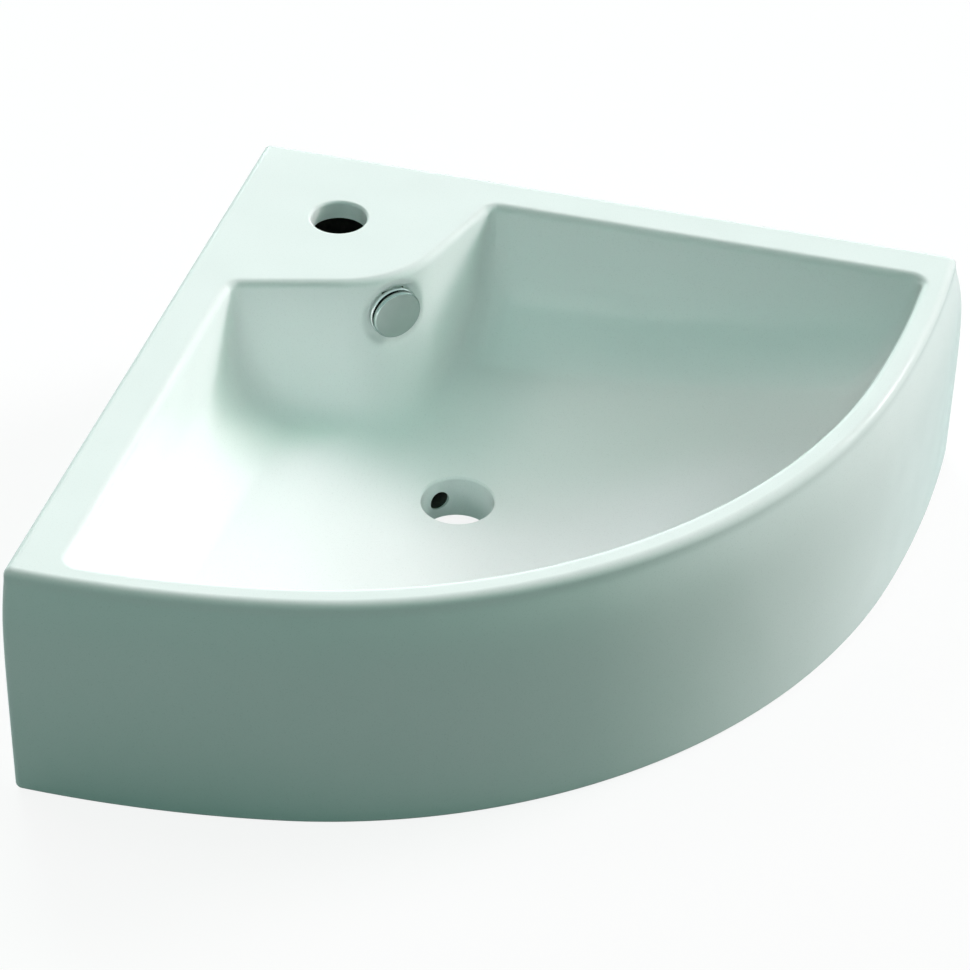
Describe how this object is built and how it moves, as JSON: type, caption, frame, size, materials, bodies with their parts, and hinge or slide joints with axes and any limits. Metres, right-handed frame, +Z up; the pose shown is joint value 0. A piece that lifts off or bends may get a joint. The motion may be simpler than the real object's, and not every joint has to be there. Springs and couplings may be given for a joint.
{
  "type": "corner basin",
  "caption": "Quarter-round ceramic wash basin for the corner of a room, with a tap ledge, a push-in overflow cover and an open waste hole.",
  "frame": {"origin": "the room corner at rim height, where the left wall, the back wall and the plane of the rim meet", "axes": "+X along the back wall, away from the corner; -Y along the left wall, away from the corner; +Z up. The left wall is the plane X = 0 and the back wall is the plane Y = 0."},
  "size_m": [0.4614, 0.4614, 0.15],
  "materials": {
    "glaze": "glossy white glaze",
    "chrome_plate": "polished chrome plating",
    "sleeve_plastic": "moulded, matt",
    "seal_rubber": "moulded rubber"
  },
  "bodies": {
    "basin": {"basin_body": "glaze", "overflow_gasket": "seal_rubber", "overflow_sleeve": "sleeve_plastic", "overflow_bezel": "chrome_plate"},
    "cap": {"overflow_cap": "chrome_plate", "cap_ring": "seal_rubber"}
  },
  "joints": [
    {"name": "cap_pull", "type": "slide", "parent": "basin", "child": "cap", "axis": [0.7071, -0.7071, 0], "range_m": [0, 0.03]}
  ]
}
